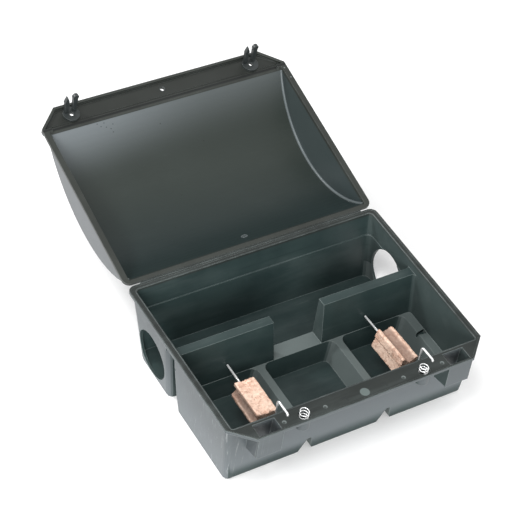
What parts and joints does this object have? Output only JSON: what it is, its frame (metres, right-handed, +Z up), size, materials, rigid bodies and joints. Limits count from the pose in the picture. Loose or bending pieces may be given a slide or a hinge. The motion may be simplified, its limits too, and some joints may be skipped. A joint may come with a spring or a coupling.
{
  "type": "rodent bait station",
  "caption": "Lidded plastic bait station, open: entries at both ends, tunnel, partition, wax blocks on wire rods over sunken pockets.",
  "frame": {"origin": "underside of the middle bait pocket's floor, on the middle plane", "axes": "+Z up, -Y to the front flange with the lock apertures, +Y to the hinge and the opened lid, +X to the right end seen from the front"},
  "size_m": [0.3, 0.4566, 0.1553],
  "materials": {
    "tray_plastic": "fine moulded texture, dark grey-green",
    "lid_plastic": "semi-matt moulded, dark grey-green",
    "latch_plastic": "satin, near black",
    "bait_wax": "granular wax and grain, salmon to beige",
    "bright_wire": "bright drawn wire"
  },
  "bodies": {
    "base": {"base_tray": "tray_plastic", "living_hinge": "tray_plastic", "lid_spring_left": "bright_wire", "lid_spring_right": "bright_wire"},
    "lid": {"lid": "lid_plastic", "latch_collar_left": "latch_plastic", "latch_collar_right": "latch_plastic"},
    "latch_spike_left_body": {"latch_spike_left": "latch_plastic"},
    "latch_bulb_left_body": {"latch_bulb_left": "latch_plastic"},
    "rod_left": {"bait_rod_left": "bright_wire"},
    "block_left": {"bait_block_left": "bait_wax"},
    "latch_spike_right_body": {"latch_spike_right": "latch_plastic"},
    "latch_bulb_right_body": {"latch_bulb_right": "latch_plastic"},
    "rod_right": {"bait_rod_right": "bright_wire"},
    "block_right": {"bait_block_right": "bait_wax"}
  },
  "joints": [
    {"name": "lid_hinge", "type": "hinge", "parent": "base", "child": "lid", "pos_m": [0, 0.162, 0.08025], "axis": [1, 0, 0], "range_deg": [0, 166.5], "deforming": ["lid_spring_left", "lid_spring_right"]},
    {"name": "spike_flex_left", "type": "hinge", "parent": "lid", "child": "latch_spike_left_body", "pos_m": [-0.1154, 0.37744, 0.13171], "axis": [0, 0.9724, 0.2334], "range_deg": [0, 4], "stiffness_Nm_per_rad": 0.6},
    {"name": "bulb_flex_left", "type": "hinge", "parent": "lid", "child": "latch_bulb_left_body", "pos_m": [-0.1062, 0.37744, 0.13171], "axis": [0, 0.9724, 0.2334], "range_deg": [-4, 0], "stiffness_Nm_per_rad": 0.6},
    {"name": "rod_swing_left", "type": "hinge", "parent": "base", "child": "rod_left", "pos_m": [-0.085, -0.0542, 0.079], "axis": [0, 0, 1], "range_deg": [-6, 6]},
    {"name": "block_slide_left", "type": "slide", "parent": "rod_left", "child": "block_left", "axis": [0, 1, 0], "range_m": [-0.0085, 0.0245]},
    {"name": "spike_flex_right", "type": "hinge", "parent": "lid", "child": "latch_spike_right_body", "pos_m": [0.1062, 0.37744, 0.13171], "axis": [0, 0.9724, 0.2334], "range_deg": [0, 4], "stiffness_Nm_per_rad": 0.6},
    {"name": "bulb_flex_right", "type": "hinge", "parent": "lid", "child": "latch_bulb_right_body", "pos_m": [0.1154, 0.37744, 0.13171], "axis": [0, 0.9724, 0.2334], "range_deg": [-4, 0], "stiffness_Nm_per_rad": 0.6},
    {"name": "rod_swing_right", "type": "hinge", "parent": "base", "child": "rod_right", "pos_m": [0.085, -0.0542, 0.079], "axis": [0, 0, 1], "range_deg": [-6, 6]},
    {"name": "block_slide_right", "type": "slide", "parent": "rod_right", "child": "block_right", "axis": [-0.0297, 0.9996, 0], "range_m": [-0.0085, 0.0245]}
  ]
}
